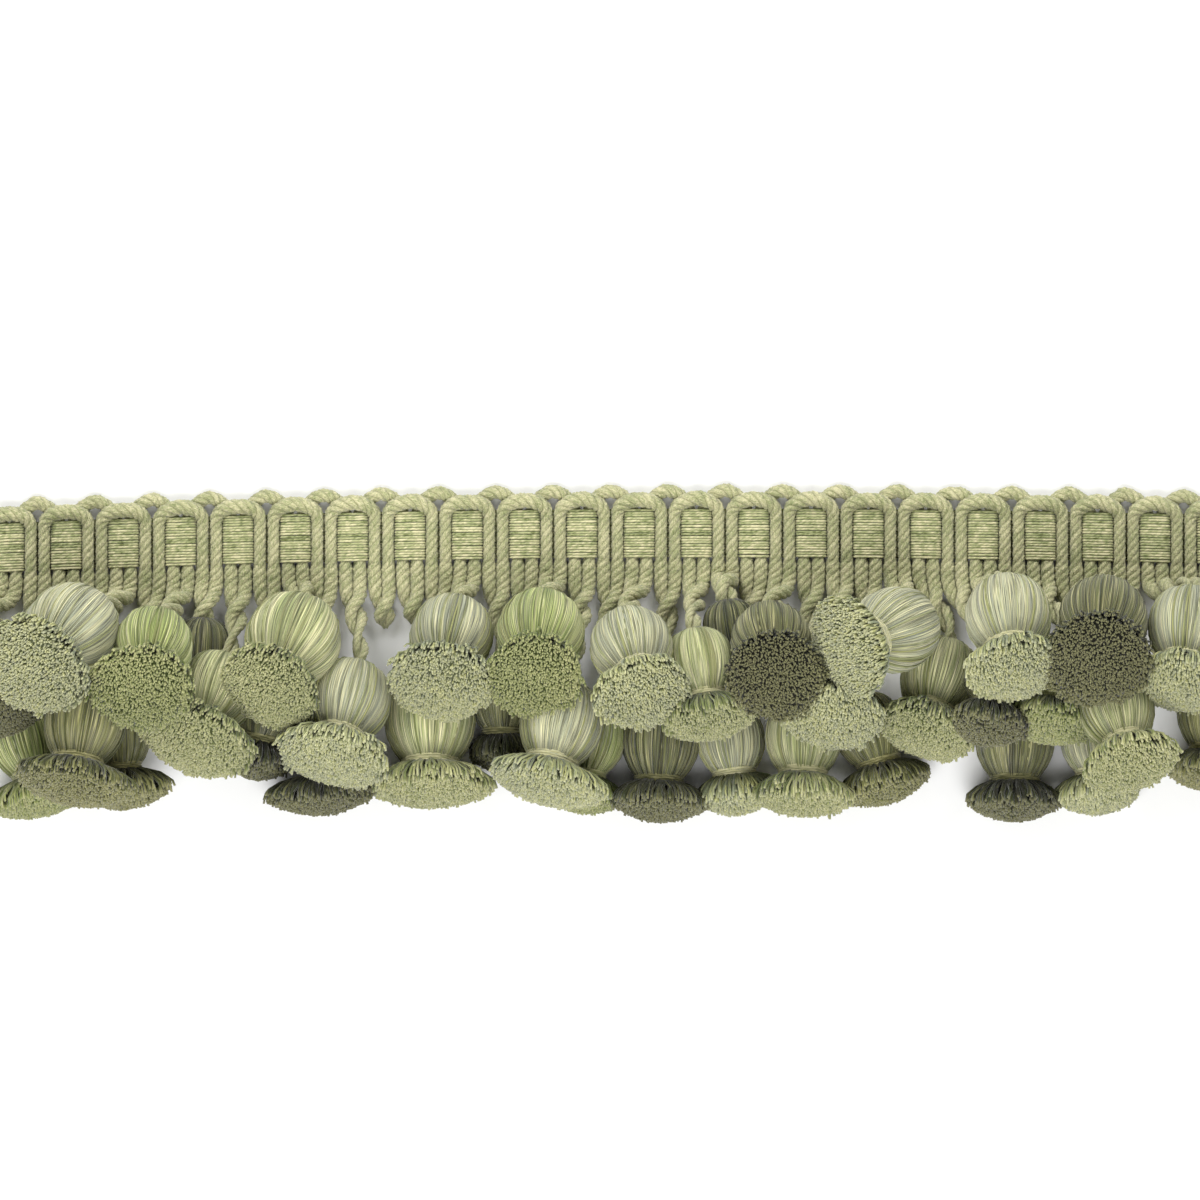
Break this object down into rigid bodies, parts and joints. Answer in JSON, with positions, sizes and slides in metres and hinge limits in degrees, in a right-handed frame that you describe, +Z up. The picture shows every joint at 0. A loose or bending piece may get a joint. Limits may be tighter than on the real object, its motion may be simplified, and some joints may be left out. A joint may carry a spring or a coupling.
{
  "type": "tassel fringe trim",
  "caption": "Cut length of woven cord heading with a looped edge and a fringe of twisted cord pairs, each carrying a flat-cut yarn tassel, the tassels piled two and three deep",
  "frame": {"origin": "middle of the trim's footprint, on the surface it lies on", "axes": "+X along the trim, +Y towards the looped edge of the heading, +Z up from the surface"},
  "size_m": [0.3339, 0.0851, 0.0556],
  "materials": {
    "heading_cord": "twisted matt cotton cord, green and cream fibres",
    "yarn_pale": "fine yarn, pale sage with cream, yellow and blue-grey strands",
    "yarn_cream": "fine yarn, cream and light green strands",
    "yarn_fresh": "fine yarn, fresh green strands",
    "yarn_olive": "fine yarn, olive and light brown strands",
    "yarn_dark": "fine yarn, dark green strands"
  },
  "bodies": {
    "root": {"heading": "heading_cord", "cord_fringe": "heading_cord", "tassel_01": "yarn_fresh", "tassel_02": "yarn_olive", "tassel_03": "yarn_dark", "tassel_04": "yarn_dark", "tassel_05": "yarn_dark", "tassel_06": "yarn_cream", "tassel_07": "yarn_fresh", "tassel_08": "yarn_dark", "tassel_09": "yarn_pale", "tassel_10": "yarn_olive", "tassel_11": "yarn_cream", "tassel_12": "yarn_dark", "tassel_13": "yarn_pale", "tassel_14": "yarn_olive", "tassel_37": "yarn_dark", "tassel_38": "yarn_dark", "tassel_15": "yarn_olive", "tassel_16": "yarn_cream", "tassel_17": "yarn_pale", "tassel_18": "yarn_dark", "tassel_19": "yarn_pale", "tassel_20": "yarn_pale", "tassel_21": "yarn_cream", "tassel_22": "yarn_fresh", "tassel_23": "yarn_cream", "tassel_24": "yarn_cream", "tassel_25": "yarn_olive", "tassel_39": "yarn_dark", "tassel_26": "yarn_fresh", "tassel_27": "yarn_fresh", "tassel_28": "yarn_pale", "tassel_29": "yarn_pale", "tassel_30": "yarn_cream", "tassel_31": "yarn_dark", "tassel_32": "yarn_pale", "tassel_33": "yarn_pale", "tassel_34": "yarn_dark", "tassel_35": "yarn_pale", "tassel_36": "yarn_pale"}
  },
  "joints": []
}
